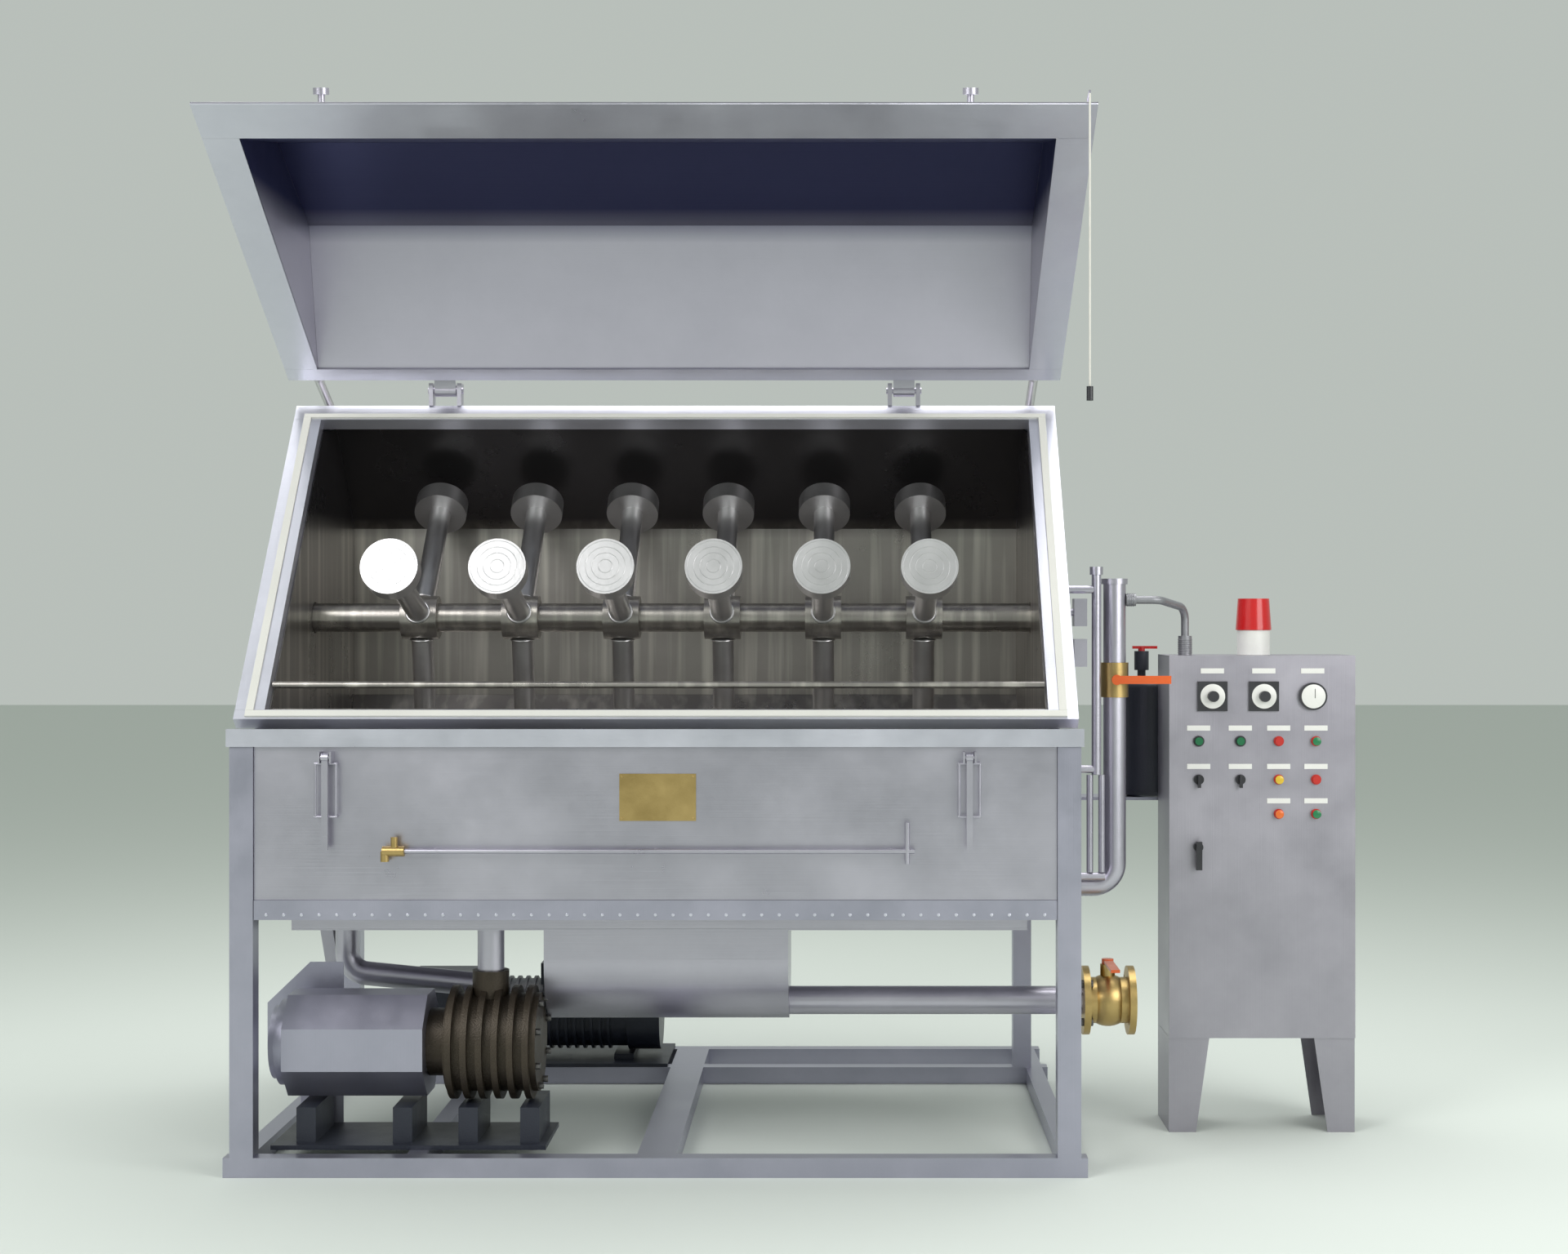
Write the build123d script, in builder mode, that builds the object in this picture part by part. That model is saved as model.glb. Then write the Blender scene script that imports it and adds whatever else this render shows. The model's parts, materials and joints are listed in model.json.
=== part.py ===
from build123d import *
import math
import os

# A stainless agitated milk tank: an insulated trough with a sloped mouth and a hinged lid on a
# welded frame, a paddle agitator with chain drive, a transfer pump, end pipework and a cabinet.
# Millimetres. X runs along the tank, Y from the operator to the back, Z up. The origin is on the
# underside of the middle cross rail of the base, halfway between the front and rear legs.

os.makedirs("parts", exist_ok=True)

# ---- driving dimensions ----
FRONT = -625.0            # front plane of the legs
LEG_FRAME_DEPTH = 1250.0
BASE_DEPTH = 1550.0
BASE_HALF = 1100.0        # half length of the base rails
RAIL = 50.0               # square tube of the base
LEG = 60.0
LEG_OUT = 1083.0          # outer face of the front legs
REAR_LEG_OUT = 1049.0
SUPPORT_LOW, SUPPORT_TOP = 655.0, 705.0
INNER_HALF = 999.0        # half width of the trough inside
RIM_HALF = 1079.0
SKIN_IN = 1030.0          # inside face of the end skins
SHEET = 3.0
SEAM = 0.4                # gap between neighbouring plates of one folded shell
MOUTH_LOW = 1141.0        # height of the mouth at the front
MOUTH_RISE, MOUTH_RUN = 885.0, 722.0
RIM_THICK = 40.0
SHAFT_Y, SHAFT_Z = 600.0, 1423.0
SHAFT_R = 40.0
PEG_REACH = 490.0
STATION_PITCH = 281.0
STATIONS = [(i - 2.5) * STATION_PITCH for i in range(6)]
PEG_ANGLES = (164.0, 44.0, 284.0)
HINGE_Y, HINGE_Z = 735.0, 2070.0
LID_HALF = 1090.0
LID_OPEN = 80.0           # angle between the lid's rest pose, open, and closed
LID_WALL_Y = -35.0        # closed lid: outer face of the front wall
GASKET = 6.0
PUMP_Y, PUMP_Z = 230.0, 305.0
DRIVE_Y, DRIVE_Z = 1375.0, 190.0
BIG_SPROCKET_R, SMALL_SPROCKET_R = 104.0, 62.0
SPROCKET_X = (-1068.0, -1058.0)
OUTLET_Y, OUTLET_Z = 410.0, 385.0
OUTLET_R, OUTLET_BORE = 38.0, 35.0
FLANGE_R, FLANGE_PCD, FLANGE_HOLE_R = 92.5, 145.0, 9.0
RISER_X, RISER_Y, RISER_R = 1222.0, 480.0, 31.0
CAB_X = (1378.0, 1892.0)
CAB_Y = (530.0, 757.0)
CAB_Z = (261.0, 1318.0)
DOOR_Y = (522.0, 528.0)
LATCHES = (-835.0, 798.0)


def finish(piece, name):
    piece.part.label = name
    export_step(piece.part, f"parts/{name}.step")


def slab(plane, x_range, y_range, z_range):
    """A block in a plane's own coordinates, added to the current part."""
    with BuildSketch(plane.offset(z_range[0])) as outline:
        with Locations(((x_range[0] + x_range[1]) / 2, (y_range[0] + y_range[1]) / 2)):
            Rectangle(x_range[1] - x_range[0], y_range[1] - y_range[0])
    extrude(outline.sketch, amount=z_range[1] - z_range[0])


def block(x_range, y_range, z_range):
    """A block by its ranges, with Y counted from the front plane."""
    slab(Plane.XY, x_range, (FRONT + y_range[0], FRONT + y_range[1]), z_range)


def at(x, y, z):
    """A point whose Y is counted from the front plane."""
    return Vector(x, FRONT + y, z)


def rod(start, end, radius, bore=0.0):
    """A round bar or tube between two points."""
    along = end - start
    with BuildSketch(Plane(origin=start, z_dir=along)) as section:
        Circle(radius)
        if bore:
            Circle(bore, mode=Mode.SUBTRACT)
    extrude(section.sketch, amount=along.length)


def pipe(points, radius, bend):
    """A round bar along straight runs and tangent bends."""
    with BuildLine() as route:
        FilletPolyline(*points, radius=bend)
    with BuildSketch(Plane(origin=points[0], z_dir=points[1] - points[0])) as section:
        Circle(radius)
    sweep(section.sketch, path=route.line)


def mitred(points, thickness):
    """The points of a folded sheet's other face, on the left of its direction."""
    other = []
    for i, p in enumerate(points):
        before = points[max(i - 1, 0)]
        after = points[min(i + 1, len(points) - 1)]
        into = math.atan2(p[1] - before[1], p[0] - before[0]) if i else None
        out = math.atan2(after[1] - p[1], after[0] - p[0]) if i < len(points) - 1 else None
        into = out if into is None else into
        out = into if out is None else out
        half = (out - into + math.pi) % (2 * math.pi) - math.pi
        middle = into + half / 2 + math.pi / 2
        reach = thickness / math.cos(half / 2)
        other.append((p[0] + reach * math.cos(middle), p[1] + reach * math.sin(middle)))
    return other


def folded(plane, points, thickness, x_range):
    """A folded sheet along X, one plate for each side of its profile, a hair apart at the folds."""
    other = mitred(points, thickness)
    for i in range(len(points) - 1):
        (ay, az), (by, bz) = points[i], points[i + 1]
        length = math.hypot(by - ay, bz - az)
        dy, dz = (by - ay) / length * SEAM / 2, (bz - az) / length * SEAM / 2
        corners = [
            (ay + dy, az + dz),
            (by - dy, bz - dz),
            (other[i + 1][0] - dy, other[i + 1][1] - dz),
            (other[i][0] + dy, other[i][1] + dz),
        ]
        with BuildSketch(plane.offset(x_range[0])) as side:
            with BuildLine():
                Polyline(*corners, close=True)
            make_face()
        extrude(side.sketch, amount=x_range[1] - x_range[0])


def end_plate(plane, points, x_range, hole=None):
    """A flat plate with the profile's outline, across the end of a folded shell."""
    with BuildSketch(plane.offset(x_range[0])) as outline:
        with BuildLine():
            Polyline(*points, close=True)
        make_face()
        if hole:
            with Locations(hole[:2]):
                Circle(hole[2], mode=Mode.SUBTRACT)
    extrude(outline.sketch, amount=x_range[1] - x_range[0])


# Profiles are drawn in (Y from the front plane, Z), on a plane whose normal is +X.
SIDE = Plane(origin=(0, FRONT, 0), x_dir=(0, 1, 0), z_dir=(1, 0, 0))
TURN = math.radians(LID_OPEN)
# The lid is drawn closed, about its hinge, and this plane holds that drawing turned open.
LID_SIDE = Plane(
    origin=(0, FRONT + HINGE_Y, HINGE_Z),
    x_dir=(0, math.cos(TURN), -math.sin(TURN)),
    z_dir=(1, 0, 0),
)
SLOPE = math.atan2(MOUTH_RISE, MOUTH_RUN)
MOUTH_LENGTH = math.hypot(MOUTH_RISE, MOUTH_RUN)
# The mouth: local X is the tank's X, local Y runs up the slope, local Z points out of the tank.
MOUTH = Plane(
    origin=(0, FRONT, MOUTH_LOW), x_dir=(1, 0, 0), z_dir=(0, -math.sin(SLOPE), math.cos(SLOPE))
)


def hinged(y, z):
    """A closed-lid point in the lid's own drawing, about the hinge."""
    return (y - HINGE_Y, z - HINGE_Z)


def opened(x, y, z):
    """Where a point of the closed lid is when the lid is open."""
    dy, dz = hinged(y, z)
    return at(
        x,
        HINGE_Y + dy * math.cos(TURN) + dz * math.sin(TURN),
        HINGE_Z - dy * math.sin(TURN) + dz * math.cos(TURN),
    )


# The mouth's plane on the closed lid, turned open with it.
LID_MOUTH = Plane(
    origin=opened(0, 0, MOUTH_LOW),
    x_dir=(1, 0, 0),
    z_dir=(0, -math.sin(SLOPE - TURN), math.cos(SLOPE - TURN)),
)


def mouth_height(y, lift=0.0):
    """Height of the mouth's plane, raised square to itself by lift."""
    return MOUTH_LOW + y * math.tan(SLOPE) + lift / math.cos(SLOPE)


# ---- base and frame ----
CROSS_RAILS = ((-1083, -1033), (-640, -590), (-50, 50), (1033, 1083))
BAYS = ((RAIL, LEG_FRAME_DEPTH - RAIL), (LEG_FRAME_DEPTH, BASE_DEPTH - RAIL))
with BuildPart() as base_rails:
    for rail_y in (0, LEG_FRAME_DEPTH - RAIL, BASE_DEPTH - RAIL):
        block((-BASE_HALF, BASE_HALF), (rail_y, rail_y + RAIL), (0, RAIL))
    for rail_x in CROSS_RAILS:
        for bay in BAYS:
            block(rail_x, (bay[0] + SEAM, bay[1] - SEAM), (0, RAIL))
finish(base_rails, "base_rails")

REAR_POST_Y = (LEG_FRAME_DEPTH - LEG, LEG_FRAME_DEPTH)
with BuildPart() as frame_legs:
    for side in (-1, 1):
        front_x = sorted((side * LEG_OUT, side * (LEG_OUT - LEG)))
        rear_x = sorted((side * REAR_LEG_OUT, side * (REAR_LEG_OUT - LEG + 5)))
        block(front_x, (0, LEG), (RAIL, MOUTH_LOW - 46))
        block(rear_x, REAR_POST_Y, (RAIL, SUPPORT_LOW - SEAM))
    block((-1022, 1022), (4, 44), (SUPPORT_LOW, SUPPORT_TOP))
    block((-1022, 1022), (1195, 1235), (SUPPORT_LOW, SUPPORT_TOP))
    for side in (-1, 1):
        block(sorted((side * 960, side * 1010)), (44.4, 1194.6), (SUPPORT_LOW, SUPPORT_TOP))
finish(frame_legs, "frame_legs")

# ---- tank ----
# Inside face of the trough, from the front of the mouth down, under and up to the rear of it.
TROUGH = [(75, 1190), (290, 870), (910, 870), (1125, 1190), (1125, 1690), (880, 1972), (735, 1972)]
with BuildPart() as tank_liner:
    folded(SIDE, TROUGH[::-1], SHEET, (-INNER_HALF + SEAM, INNER_HALF - SEAM))
    end_outline = [(75, 1176), *TROUGH[1:6], (700, 1948)]
    for side in (-1, 1):
        plate_x = sorted((side * INNER_HALF, side * (INNER_HALF + SHEET)))
        end_plate(SIDE, end_outline, plate_x, (SHAFT_Y, SHAFT_Z, SHAFT_R + 4))
    rod(at(-INNER_HALF + SEAM, 112, 1250), at(INNER_HALF - SEAM, 112, 1250), 9)
finish(tank_liner, "tank_liner")

OUTER = [(756, 2015), (900, 2015), (1240, 1650), (1240, SUPPORT_TOP + 1)]
with BuildPart() as tank_casing:
    block((-1022, 1022), (9, 12), (SUPPORT_TOP + SEAM, MOUTH_LOW - 46))
    folded(SIDE, OUTER, SHEET, (-SKIN_IN + SEAM, SKIN_IN - SEAM))
    for side in (-1, 1):
        skin_x = sorted((side * SKIN_IN, side * (SKIN_IN + SHEET)))
        outline = [(62, SUPPORT_LOW), (62, 1152), (753.8, 2000), (756, 2018), (901, 2018),
                   (1243, 1651), (1243, SUPPORT_LOW)]
        end_plate(SIDE, outline, skin_x, (SHAFT_Y, SHAFT_Z, SHAFT_R + 4))
    block((-955, 955), (130, 1120), (612, 615))
    for pan_y in (130, 1117):
        block((-955, 955), (pan_y, pan_y + SHEET), (615.4, 690))
finish(tank_casing, "tank_casing")

with BuildPart() as mouth_rim:
    slab(MOUTH, (-RIM_HALF, RIM_HALF), (32, 62), (-RIM_THICK, 0))
    slab(MOUTH, (-RIM_HALF, RIM_HALF), (1088, MOUTH_LENGTH), (-RIM_THICK, 0))
    for side in (-1, 1):
        bar_x = sorted((side * RIM_HALF, side * (INNER_HALF + SHEET + 0.5)))
        slab(MOUTH, bar_x, (62.4, 1087.6), (-RIM_THICK, 0))
    block((-BASE_HALF + 10, BASE_HALF - 10), (-8, 16), (MOUTH_LOW - 45, MOUTH_LOW))
finish(mouth_rim, "mouth_rim")

with BuildPart() as rim_gasket:
    slab(MOUTH, (-1050, 1050), (38, 56), (0, GASKET))
    slab(MOUTH, (-1050, 1050), (1092, 1106), (0, GASKET))
    for side in (-1, 1):
        strip_x = sorted((side * 1050, side * 1030))
        slab(MOUTH, strip_x, (56.4, 1091.6), (0, GASKET))
finish(rim_gasket, "rim_gasket")

with BuildPart() as nameplate:
    block((-92, 103), (6, 9), (907, 1027))
finish(nameplate, "nameplate")

# ---- outlet ----
SUMP_X = (-313.0, 332.0)
SUMP_Y = (230.0, 590.0)
SUMP_R = (SUMP_Y[1] - SUMP_Y[0]) / 2
SUMP_MID_Z = 340.0 + SUMP_R
with BuildPart() as discharge_sump:
    for radius, x_range, mode in (
        (SUMP_R, SUMP_X, Mode.ADD),
        (SUMP_R - SHEET, (SUMP_X[0] + SHEET, SUMP_X[1] - SHEET), Mode.SUBTRACT),
    ):
        with BuildSketch(SIDE.offset(x_range[0])):
            with Locations((OUTLET_Y, SUMP_MID_Z)):
                Circle(radius)
            with Locations((OUTLET_Y, (SUMP_MID_Z + 611.5) / 2)):
                Rectangle(2 * radius, 611.5 - SUMP_MID_Z)
            with Locations((OUTLET_Y, 611.5 + SUMP_R)):
                Rectangle(3 * SUMP_R, 2 * SUMP_R, mode=Mode.SUBTRACT)
        extrude(amount=x_range[1] - x_range[0], mode=mode)
    rod(at(SUMP_X[1] - 2 * SHEET, OUTLET_Y, OUTLET_Z), at(SUMP_X[1], OUTLET_Y, OUTLET_Z), OUTLET_R)
    with BuildSketch(SIDE.offset(SUMP_X[1] - 2 * SHEET - 1)):
        with Locations((OUTLET_Y, OUTLET_Z)):
            Circle(OUTLET_BORE)
    extrude(amount=3 * SHEET, mode=Mode.SUBTRACT)
finish(discharge_sump, "discharge_sump")

with BuildPart() as discharge_pipe:
    rod(at(SUMP_X[1], OUTLET_Y, OUTLET_Z), at(1125, OUTLET_Y, OUTLET_Z), OUTLET_R, OUTLET_BORE)
finish(discharge_pipe, "discharge_pipe")

VALVE_X = (1125.0, 1265.0)
with BuildPart() as discharge_valve_body:
    for x0, x1, radius in ((1125, 1143, FLANGE_R), (1143, 1247, 62), (1247, 1265, FLANGE_R)):
        rod(at(x0, OUTLET_Y, OUTLET_Z), at(x1, OUTLET_Y, OUTLET_Z), radius)
    with Locations(at(1195, OUTLET_Y, OUTLET_Z)):
        Sphere(70)
    rod(at(1195, OUTLET_Y, OUTLET_Z), at(1195, OUTLET_Y, OUTLET_Z + 98), 20)
    with BuildSketch(SIDE.offset(VALVE_X[0])):
        with Locations((OUTLET_Y, OUTLET_Z)):
            Circle(OUTLET_BORE)
    extrude(amount=VALVE_X[1] - VALVE_X[0], mode=Mode.SUBTRACT)
    with BuildSketch(SIDE.offset(VALVE_X[1])):
        with Locations((OUTLET_Y, OUTLET_Z)):
            with PolarLocations(FLANGE_PCD / 2, 4, start_angle=45):
                Circle(FLANGE_HOLE_R)
    extrude(amount=-18, mode=Mode.SUBTRACT)
finish(discharge_valve_body, "discharge_valve_body")

with BuildPart() as discharge_lever:
    rod(at(1195, OUTLET_Y, OUTLET_Z + 98.4), at(1195, OUTLET_Y, OUTLET_Z + 112), 16)
    block((1183, 1207), (OUTLET_Y - 190, OUTLET_Y), (OUTLET_Z + 102, OUTLET_Z + 110))
finish(discharge_lever, "discharge_lever")

# ---- front fittings ----
with BuildPart() as gauge_pipe:
    rod(at(-634, -18, 832), at(659, -18, 832), 6)
    for post_x in (-560, 0, 600):
        rod(at(post_x, -18, 832), at(post_x, 9, 832), 5)
    rod(at(640, -18, 800), at(640, -18, 905), 6)
finish(gauge_pipe, "gauge_pipe")

with BuildPart() as gauge_cock:
    rod(at(-690, -18, 832), at(-634.2, -18, 832), 13)
    rod(at(-660, -18, 832), at(-660, -18, 868), 9)
    rod(at(-684, -18, 832), at(-684, -18, 806), 11)
    rod(at(-660, -18, 832), at(-660, 9, 832), 8)
finish(gauge_cock, "gauge_cock")

# ---- latches ----
PIVOT_Y, PIVOT_Z = -22.0, 1070.0
with BuildPart() as latch_brackets:
    for latch_x in LATCHES:
        for side in (-1, 1):
            ear_x = sorted((latch_x + side * 12, latch_x + side * 17))
            block(ear_x, (-30, 8.8), (1056, 1084))
            rod(at(latch_x + side * 26, -14, 919), at(latch_x + side * 26, -14, 1054), 3)
        rod(at(latch_x - 18, PIVOT_Y, PIVOT_Z), at(latch_x + 18, PIVOT_Y, PIVOT_Z), 4)
        for bar_z in (919, 1054):
            rod(at(latch_x - 29, -14, bar_z), at(latch_x + 29, -14, bar_z), 3)
            for side in (-1, 1):
                rod(at(latch_x + side * 26, -14, bar_z), at(latch_x + side * 26, 8.8, bar_z), 3)
finish(latch_brackets, "latch_brackets")

LEVER_PLANE = Plane(origin=(0, FRONT, 0), x_dir=(0, 1, 0), z_dir=(1, 0, 0))
for latch_x, latch_name in zip(LATCHES, ("latch_lever_left", "latch_lever_right")):
    with BuildPart() as latch_lever:
        rod(at(latch_x - 9, PIVOT_Y, PIVOT_Z), at(latch_x + 9, PIVOT_Y, PIVOT_Z), 10)
        block((latch_x - 8, latch_x + 8), (-27, -21), (836, 1065))
        with BuildSketch(LEVER_PLANE.offset(latch_x - 10)):
            with Locations((PIVOT_Y, PIVOT_Z)):
                Circle(4.05)
        extrude(amount=20, mode=Mode.SUBTRACT)
    finish(latch_lever, latch_name)

# ---- lid ----
LID_INNER = [(50, 1225), (50, 1610), (268, 1935), (668, 1980)]
LID_OUTER = [(-35, 1118), (-35, 1640), (222, 2012), (700, 2046)]
TO_HINGE = lambda points: [hinged(y, z) for y, z in points]
LID_LIFT = GASKET + 1.0
with BuildPart() as lid_shell:
    folded(LID_SIDE, TO_HINGE(LID_OUTER), -2.0, (-LID_HALF + 2.4, LID_HALF - 2.4))
    skin = [*LID_OUTER, (700, 2016.5)]
    for side in (-1, 1):
        end_plate(LID_SIDE, TO_HINGE(skin), sorted((side * LID_HALF, side * (LID_HALF - 2))))
finish(lid_shell, "lid_shell")

with BuildPart() as lid_liner:
    folded(LID_SIDE, TO_HINGE(LID_INNER), 2.0, (-INNER_HALF + SEAM, INNER_HALF - SEAM))
    for side in (-1, 1):
        wall_x = sorted((side * INNER_HALF, side * (INNER_HALF + 2)))
        end_plate(LID_SIDE, TO_HINGE(LID_INNER), wall_x)
finish(lid_liner, "lid_liner")

LID_LOW, LID_HIGH = -38.0, 1117.0
OPEN_LOW, OPEN_HIGH = 86.0, 1064.0
with BuildPart() as lid_rim:
    flange = (LID_LIFT, LID_LIFT + SHEET)
    slab(LID_MOUTH, (-LID_HALF, LID_HALF), (LID_LOW, OPEN_LOW), flange)
    slab(LID_MOUTH, (-LID_HALF, LID_HALF), (OPEN_HIGH, LID_HIGH), flange)
    for side in (-1, 1):
        flange_x = sorted((side * LID_HALF, side * INNER_HALF))
        slab(LID_MOUTH, flange_x, (OPEN_LOW + SEAM, OPEN_HIGH - SEAM), flange)
finish(lid_rim, "lid_rim")

KEEPER_Z = 1400.0
CORD_X = 1067.0
CORD_LENGTH = 700.0
CORD_TOP = opened(CORD_X, -60, 1095)
with BuildPart() as lid_keepers:
    for keeper_x in LATCHES:
        rod(opened(keeper_x, -35.2, KEEPER_Z), opened(keeper_x, -64, KEEPER_Z), 9)
        rod(opened(keeper_x, -64, KEEPER_Z), opened(keeper_x, -80, KEEPER_Z), 20)
    rod(opened(CORD_X, -39, 1140), CORD_TOP, 3)
finish(lid_keepers, "lid_keepers")

HINGES = (-656.0, 650.0)
with BuildPart() as hinge_brackets:
    for hinge_x in HINGES:
        for side in (-1, 1):
            ear_x = sorted((hinge_x + side * 34, hinge_x + side * 46))
            block(ear_x, (717, 760), (2026.5, 2090))
        rod(at(hinge_x - 50, HINGE_Y, HINGE_Z), at(hinge_x + 50, HINGE_Y, HINGE_Z), 9)
        block((hinge_x - 60, hinge_x + 60), (737, 800), (2018.4, 2027))
finish(hinge_brackets, "hinge_brackets")

with BuildPart() as lid_hinge_leaves:
    for hinge_x in HINGES:
        knuckle = (hinge_x - 30, hinge_x + 30)
        rod(at(knuckle[0], HINGE_Y, HINGE_Z), at(knuckle[1], HINGE_Y, HINGE_Z), 17)
        slab(
            Plane(origin=LID_SIDE.origin, x_dir=(1, 0, 0), z_dir=LID_SIDE.y_dir),
            knuckle, (-130, -8), (-15, -9),
        )
        with BuildSketch(SIDE.offset(knuckle[0] - 1)):
            with Locations((HINGE_Y, HINGE_Z)):
                Circle(9.06)
        extrude(amount=62, mode=Mode.SUBTRACT)
finish(lid_hinge_leaves, "lid_hinge_leaves")

ARM_X = 1020.0
WEIGHT_ANGLE = math.radians(60)
WEIGHT_Y = HINGE_Y + 560 * math.cos(WEIGHT_ANGLE)
WEIGHT_Z = HINGE_Z + 560 * math.sin(WEIGHT_ANGLE)
with BuildPart() as counterweight:
    for side in (-1, 1):
        rod(opened(side * ARM_X, 560, 2056), opened(side * ARM_X, 700, 2075), 13)
        rod(opened(side * ARM_X, 700, 2075), opened(side * ARM_X, WEIGHT_Y, WEIGHT_Z), 13)
        with Locations(opened(side * ARM_X, 700, 2075)):
            Sphere(14)
    rod(opened(-1040, WEIGHT_Y, WEIGHT_Z), opened(1040, WEIGHT_Y, WEIGHT_Z), 45)
finish(counterweight, "counterweight")

# ---- pull cord: hangs from an eye at the lid's free corner ----
with BuildPart() as pull_cord:
    rod(CORD_TOP + Vector(0, 0, -6), CORD_TOP + Vector(0, 0, -6 - CORD_LENGTH), 2.5)
finish(pull_cord, "pull_cord")

with BuildPart() as pull_knob:
    knob_top = CORD_TOP + Vector(0, 0, -6 - CORD_LENGTH)
    rod(knob_top, knob_top + Vector(0, 0, -34), 8)
finish(pull_knob, "pull_knob")

# ---- agitator ----
AXIS_LEFT, AXIS_RIGHT = -1074.0, 1058.0


def sprocket(y, z, radius, teeth):
    """A toothed wheel between the chain's side plates."""
    with BuildSketch(SIDE.offset(SPROCKET_X[0])) as wheel:
        with Locations((y, z)):
            Circle(radius)
            with PolarLocations(radius, teeth):
                Circle(4.5, mode=Mode.SUBTRACT)
    extrude(wheel.sketch, amount=SPROCKET_X[1] - SPROCKET_X[0])


with BuildPart() as agitator_shaft:
    rod(at(AXIS_LEFT, SHAFT_Y, SHAFT_Z), at(AXIS_RIGHT, SHAFT_Y, SHAFT_Z), SHAFT_R)
    for station in STATIONS:
        rod(at(station - 50, SHAFT_Y, SHAFT_Z), at(station + 50, SHAFT_Y, SHAFT_Z), 60)
    sprocket(SHAFT_Y, SHAFT_Z, BIG_SPROCKET_R, 27)
finish(agitator_shaft, "agitator_shaft")


def peg(station, angle):
    """A stem with a round head, standing out of the shaft's collar."""
    out = Vector(0, math.cos(math.radians(angle)), math.sin(math.radians(angle)))
    centre = at(station, SHAFT_Y, SHAFT_Z)
    rod(centre + out * 57, centre + out * (PEG_REACH - 56), 30)
    rod(centre + out * (PEG_REACH - 56), centre + out * PEG_REACH, 75)



with BuildPart() as agitator_pegs:
    for station in STATIONS:
        for angle in PEG_ANGLES:
            peg(station, angle)
finish(agitator_pegs, "agitator_pegs")

# ---- bearings, seals and chain drive ----
with BuildPart() as shaft_bearings:
    for side in (-1, 1):
        for x0, x1, radius in ((1033.4, 1043, 80), (1043, 1052, 58)):
            rod(at(side * x0, SHAFT_Y, SHAFT_Z), at(side * x1, SHAFT_Y, SHAFT_Z), radius, 40.06)
        rod(at(side * 1002.4, SHAFT_Y, SHAFT_Z), at(side * 1029.6, SHAFT_Y, SHAFT_Z), 62, 40.3)
finish(shaft_bearings, "shaft_bearings")


def drive_loop(x_range, growth, mode=Mode.ADD):
    """The tight outline round both sprockets, grown outwards and extruded along X."""
    with BuildSketch(SIDE.offset(x_range[0])) as loop:
        with Locations((SHAFT_Y, SHAFT_Z)):
            Circle(BIG_SPROCKET_R + growth)
        with Locations((DRIVE_Y, DRIVE_Z)):
            Circle(SMALL_SPROCKET_R + growth)
        make_hull()
    extrude(loop.sketch, amount=x_range[1] - x_range[0], mode=mode)


with BuildPart() as drive_sprocket:
    sprocket(DRIVE_Y, DRIVE_Z, SMALL_SPROCKET_R, 16)
    rod(at(-1070, DRIVE_Y, DRIVE_Z), at(-860.5, DRIVE_Y, DRIVE_Z), 20)
finish(drive_sprocket, "drive_sprocket")

with BuildPart() as drive_chain:
    drive_loop((-1067, -1059), 12)
    drive_loop((-1068, -1058), 0.8, Mode.SUBTRACT)
finish(drive_chain, "drive_chain")

with BuildPart() as chain_guard:
    drive_loop((-1090, -1053), 24)
    drive_loop((-1088, -1052), 22, Mode.SUBTRACT)
finish(chain_guard, "chain_guard")

with BuildPart() as drive_motor:
    block((-860, -640), (DRIVE_Y - 110, DRIVE_Y + 110), (60.5, 320))
    fillet(edges().filter_by(Axis.X), 22)
    rod(at(-640, DRIVE_Y, DRIVE_Z), at(-616, DRIVE_Y, DRIVE_Z), 100)
    rod(at(-615.5, DRIVE_Y, DRIVE_Z), at(-190, DRIVE_Y, DRIVE_Z), 104)
    for fin in range(14):
        fin_x = -590 + 26 * fin
        rod(at(fin_x, DRIVE_Y, DRIVE_Z), at(fin_x + 8, DRIVE_Y, DRIVE_Z), 112)
    rod(at(-190, DRIVE_Y, DRIVE_Z), at(-90, DRIVE_Y, DRIVE_Z), 114)
    block((-460, -320), (DRIVE_Y - 60, DRIVE_Y + 60), (DRIVE_Z + 60, DRIVE_Z + 160))
finish(drive_motor, "drive_motor")

with BuildPart() as machine_mounts:
    block((-870, -60), (1205, 1545), (RAIL + 0.2, 60))
    for foot_x in (-540, -230):
        block((foot_x, foot_x + 60), (DRIVE_Y - 90, DRIVE_Y + 90), (60, 75.5))
    block((-1000, -290), (90, 370), (RAIL + 0.2, 62))
    for foot_x in (-940, -690, -520, -360):
        block((foot_x, foot_x + 50), (120, 340), (62, 153.5))
finish(machine_mounts, "machine_mounts")

# ---- transfer pump ----
SHROUD_HALF = 132.0
with BuildPart() as pump_motor_shroud:
    with BuildSketch(SIDE.offset(-975)):
        with Locations((PUMP_Y, PUMP_Z)):
            RegularPolygon(SHROUD_HALF, 8, major_radius=False, rotation=22.5)
    extrude(amount=365)
    rod(at(-1000, PUMP_Y, PUMP_Z), at(-975, PUMP_Y, PUMP_Z), 112)
    rod(at(-1018, PUMP_Y, PUMP_Z), at(-1000, PUMP_Y, PUMP_Z), 96)
    with BuildSketch(Plane.XZ.offset(-(FRONT + 369))):
        with BuildLine():
            Polyline((-985, 62.4), (-985, 200), (-1075, 260), (-1075, 385), (-960, 495), (-870, 495),
                     (-870, 62.4), close=True)
        make_face()
    extrude(amount=SHEET)
finish(pump_motor_shroud, "pump_motor_shroud")

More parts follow.
